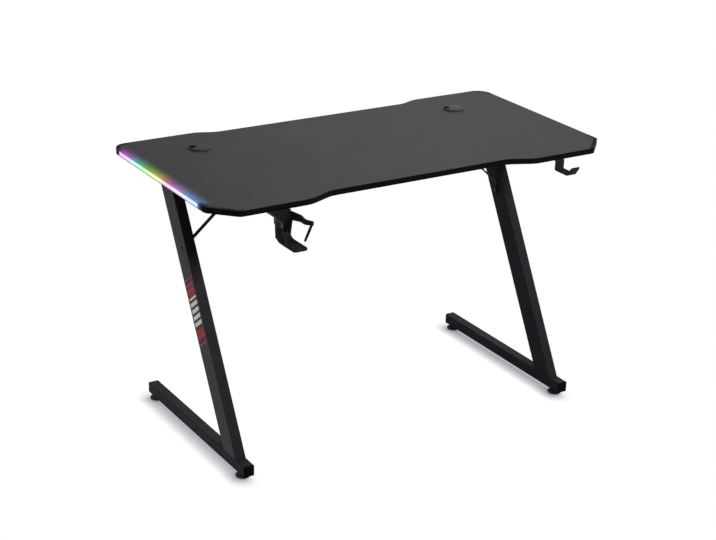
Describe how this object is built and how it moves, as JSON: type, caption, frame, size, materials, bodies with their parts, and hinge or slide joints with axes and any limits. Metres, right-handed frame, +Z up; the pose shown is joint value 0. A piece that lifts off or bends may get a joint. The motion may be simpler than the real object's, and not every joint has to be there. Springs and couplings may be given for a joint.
{
  "type": "gaming desk",
  "caption": "Desk with Z-shaped steel legs, a dark top with recessed edges, lit side edges, cable grommets, a cup holder and a headphone hook.",
  "frame": {"origin": "on the floor, under the middle of the whole width and of the whole depth from the cup holder's front to the top's rear edge", "axes": "+X to the right of a person who sits at the desk, +Y to the rear, +Z up"},
  "size_m": [1.2, 0.7, 0.7447],
  "materials": {
    "board_core": "fibreboard wrapped in dark film",
    "laminate": "fine-textured matte",
    "edge_band": "matte",
    "trim": "satin",
    "diffuser": "frosted, lit in changing colours",
    "channel": "satin",
    "light_strip": "white tape with light chips",
    "grommet": "satin",
    "frame": "fine powder coat",
    "fastener": "dark zinc",
    "pad": "matte",
    "stud": "bright zinc",
    "holder": "semi-gloss",
    "case": "fine spark texture",
    "circuit": "green solder mask",
    "button": "matte",
    "inlet": "satin"
  },
  "bodies": {
    "desk": {"board_inserts": "fastener", "brace_bolts": "fastener", "brace_nuts": "fastener", "brace_screws": "fastener", "controller_circuit_board": "circuit", "crossbeam_bolts": "fastener", "crossbeam_end_plates": "frame", "crossbeam_rivet_nuts": "fastener", "cup_holder_block": "holder", "cup_holder_cradle": "holder", "cup_holder_screws": "fastener", "edge_bands": "edge_band", "foot_bar_plugs": "trim", "foot_weld_nuts": "fastener", "front_crossbeam": "frame", "front_left_corner_cap": "trim", "front_right_corner_cap": "trim", "headphone_hook": "frame", "headphone_hook_screws": "fastener", "left_brace": "frame", "left_foot_bar": "frame", "left_grommet_sleeve": "grommet", "left_light_channel": "channel", "left_light_diffuser": "diffuser", "left_light_strip": "light_strip", "left_top_bar": "frame", "left_upright": "frame", "light_controller_base": "case", "light_controller_case": "case", "light_controller_screws": "fastener", "power_inlet": "inlet", "rear_crossbeam": "frame", "rear_left_corner_cap": "trim", "rear_right_corner_cap": "trim", "right_brace": "frame", "right_foot_bar": "frame", "right_grommet_sleeve": "grommet", "right_light_channel": "channel", "right_light_diffuser": "diffuser", "right_light_strip": "light_strip", "right_top_bar": "frame", "right_upright": "frame", "tabletop_board": "board_core", "tabletop_screws": "fastener", "top_bar_plugs": "trim", "top_laminate": "laminate"},
    "left_grommet_cap": {"left_grommet_cap": "grommet"},
    "right_grommet_cap": {"right_grommet_cap": "grommet"},
    "light_mode_button": {"light_mode_button": "button"},
    "front_left_foot_pad": {"front_left_foot_pad": "pad"},
    "front_left_foot_stud": {"front_left_foot_stud": "stud"},
    "front_right_foot_pad": {"front_right_foot_pad": "pad"},
    "front_right_foot_stud": {"front_right_foot_stud": "stud"},
    "rear_left_foot_pad": {"rear_left_foot_pad": "pad"},
    "rear_left_foot_stud": {"rear_left_foot_stud": "stud"},
    "rear_right_foot_pad": {"rear_right_foot_pad": "pad"},
    "rear_right_foot_stud": {"rear_right_foot_stud": "stud"}
  },
  "joints": [
    {"name": "left_grommet_turn", "type": "hinge", "parent": "desk", "child": "left_grommet_cap", "pos_m": [-0.405, 0.22, 0.742], "axis": [0, 0, 1], "continuous": true},
    {"name": "right_grommet_turn", "type": "hinge", "parent": "desk", "child": "right_grommet_cap", "pos_m": [0.405, 0.22, 0.742], "axis": [0, 0, 1], "continuous": true},
    {"name": "front_left_foot_travel", "type": "slide", "parent": "desk", "child": "front_left_foot_pad", "axis": [0, 0, -1], "range_m": [0, 0.01]},
    {"name": "front_left_stud_turn", "type": "hinge", "parent": "front_left_foot_pad", "child": "front_left_foot_stud", "pos_m": [-0.506, -0.2065, 0.013], "axis": [0, 0, -1], "range_deg": [-5, 2890]},
    {"name": "front_right_foot_travel", "type": "slide", "parent": "desk", "child": "front_right_foot_pad", "axis": [0, 0, -1], "range_m": [0, 0.01]},
    {"name": "front_right_stud_turn", "type": "hinge", "parent": "front_right_foot_pad", "child": "front_right_foot_stud", "pos_m": [0.506, -0.2065, 0.013], "axis": [0, 0, -1], "range_deg": [-5, 2890]},
    {"name": "rear_left_foot_travel", "type": "slide", "parent": "desk", "child": "rear_left_foot_pad", "axis": [0, 0, -1], "range_m": [0, 0.01]},
    {"name": "rear_left_stud_turn", "type": "hinge", "parent": "rear_left_foot_pad", "child": "rear_left_foot_stud", "pos_m": [-0.506, 0.2985, 0.013], "axis": [0, 0, -1], "range_deg": [-5, 2890]},
    {"name": "rear_right_foot_travel", "type": "slide", "parent": "desk", "child": "rear_right_foot_pad", "axis": [0, 0, -1], "range_m": [0, 0.01]},
    {"name": "rear_right_stud_turn", "type": "hinge", "parent": "rear_right_foot_pad", "child": "rear_right_foot_stud", "pos_m": [0.506, 0.2985, 0.013], "axis": [0, 0, -1], "range_deg": [-5, 2890]},
    {"name": "light_mode_button_press", "type": "slide", "parent": "desk", "child": "light_mode_button", "axis": [0, 0, 1], "range_m": [0, 0.001], "stiffness_N_per_m": 400, "springref_m": -0.001}
  ],
  "couplings": [
    {"joint": "front_left_stud_turn", "follows": "front_left_foot_travel", "rad_per_m": 5026.5},
    {"joint": "front_right_stud_turn", "follows": "front_right_foot_travel", "rad_per_m": 5026.5},
    {"joint": "rear_left_stud_turn", "follows": "rear_left_foot_travel", "rad_per_m": 5026.5},
    {"joint": "rear_right_stud_turn", "follows": "rear_right_foot_travel", "rad_per_m": 5026.5}
  ]
}
